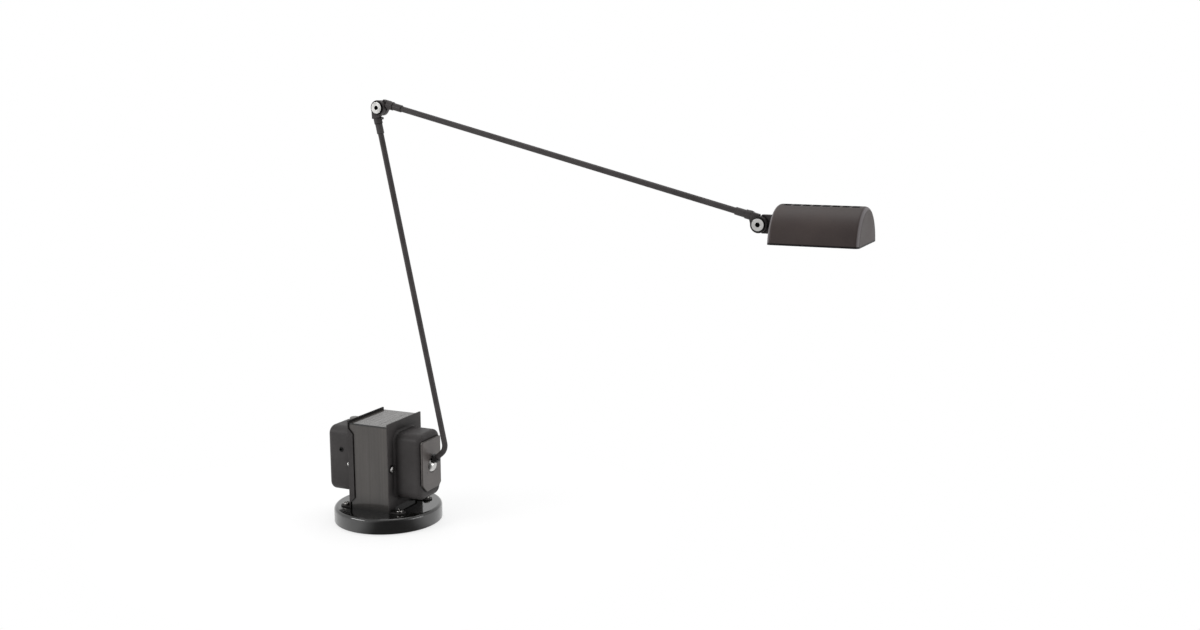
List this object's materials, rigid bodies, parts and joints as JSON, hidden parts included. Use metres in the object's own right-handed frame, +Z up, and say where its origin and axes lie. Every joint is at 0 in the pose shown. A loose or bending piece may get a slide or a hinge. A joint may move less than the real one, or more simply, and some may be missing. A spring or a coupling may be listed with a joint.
{
  "type": "piano lamp",
  "caption": "Desk lamp on a round disc: a bell-ended transformer body with a push switch, thin tube arms on a ball joint and hinges, and a half-round metal head.",
  "frame": {"origin": "centre of the underside of the round base, on the surface the lamp stands on", "axes": "+Z up, +X from the base towards the head, Y along the hinge pins; the arms lie in the plane Y = 0"},
  "size_m": [0.5431, 0.11, 0.4263],
  "materials": {
    "gloss_black": "gloss black stove enamel",
    "satin_black": "satin black paint",
    "arm_black": "matt black paint",
    "lamination": "varnished silicon steel sheets on edge",
    "plate_grey": "satin grey-brown paint",
    "nickel": "bright nickel",
    "black_steel": "blackened steel",
    "zinc_steel": "zinc plated steel",
    "copper": "enamelled copper wire",
    "brass": "bare brass",
    "nylon": "natural nylon",
    "dark_plastic": "moulded dark plastic",
    "knob_grey": "moulded grey plastic",
    "rubber": "moulded rubber",
    "head_lacquer": "fine-textured dark lacquer on aluminium",
    "reflector_white": "satin anodised aluminium",
    "steatite": "unglazed steatite",
    "glass": "clear quartz glass",
    "tungsten": "drawn wire"
  },
  "bodies": {
    "base": {"base_disc": "gloss_black", "base_pad": "rubber", "foot_screws": "black_steel", "core_e_stack": "lamination", "core_i_stack": "lamination", "coil_bobbin": "nylon", "primary_winding": "copper", "secondary_winding": "copper", "left_bell": "satin_black", "right_bell": "satin_black", "core_bolts": "nickel", "core_nuts": "nickel", "side_plate": "plate_grey", "socket_housing": "zinc_steel", "housing_screws": "zinc_steel", "seat_spring": "zinc_steel", "switch_body": "dark_plastic", "switch_ring": "black_steel", "terminal_block": "dark_plastic", "terminal_screws": "brass", "cable_inlet": "rubber", "inner_leads": "dark_plastic"},
    "ball_cup": {"ball_cup": "nylon"},
    "lower_arm": {"pivot_ball": "nickel", "lower_collar": "satin_black", "lower_tube": "arm_black", "lower_sleeve": "nylon", "lower_rod": "brass", "lower_ferrule": "satin_black", "elbow_front_eye": "satin_black", "lower_grub_screw": "black_steel", "elbow_pin": "nickel", "elbow_nut": "zinc_steel", "elbow_lock_washer": "zinc_steel", "elbow_wave_washer": "zinc_steel", "elbow_front_bush": "nylon"},
    "upper_arm": {"elbow_back_eye": "satin_black", "elbow_back_bush": "nylon", "upper_grub_screws": "black_steel", "upper_ferrules": "satin_black", "upper_tube": "arm_black", "upper_sleeve": "nylon", "upper_rod": "brass", "head_front_eye": "satin_black", "head_pin": "nickel", "head_nut": "zinc_steel", "head_lock_washer": "zinc_steel", "head_wave_washer": "zinc_steel", "head_front_bush": "nylon"},
    "head": {"head_lug": "satin_black", "head_back_bush": "nylon", "lug_screws": "zinc_steel", "shade_shell": "head_lacquer", "holder_bracket": "zinc_steel", "lamp_holder": "steatite", "reflector": "reflector_white", "bulb_capsule": "glass", "bulb_pins": "tungsten", "bulb_filament": "tungsten"},
    "switch_button": {"switch_button": "knob_grey"}
  },
  "joints": [
    {"name": "base_swivel", "type": "hinge", "parent": "base", "child": "ball_cup", "pos_m": [0.0493, 0, 0.0628], "axis": [1, 0, 0], "range_deg": [-60, 60]},
    {"name": "base_tilt", "type": "hinge", "parent": "ball_cup", "child": "lower_arm", "pos_m": [0.0493, 0, 0.0628], "axis": [0, 1, 0], "range_deg": [-1.5, 40]},
    {"name": "elbow_hinge", "type": "hinge", "parent": "lower_arm", "child": "upper_arm", "pos_m": [0.00345, 0, 0.4181], "axis": [0, 1, 0], "range_deg": [-80, 40]},
    {"name": "head_tilt", "type": "hinge", "parent": "upper_arm", "child": "head", "pos_m": [0.39046, 0, 0.31938], "axis": [0, 1, 0], "range_deg": [-50, 70]},
    {"name": "switch_press", "type": "slide", "parent": "base", "child": "switch_button", "axis": [0, 0, 1], "range_m": [-0.0012, 0], "stiffness_N_per_m": 1500, "springref_m": 0.0006}
  ]
}
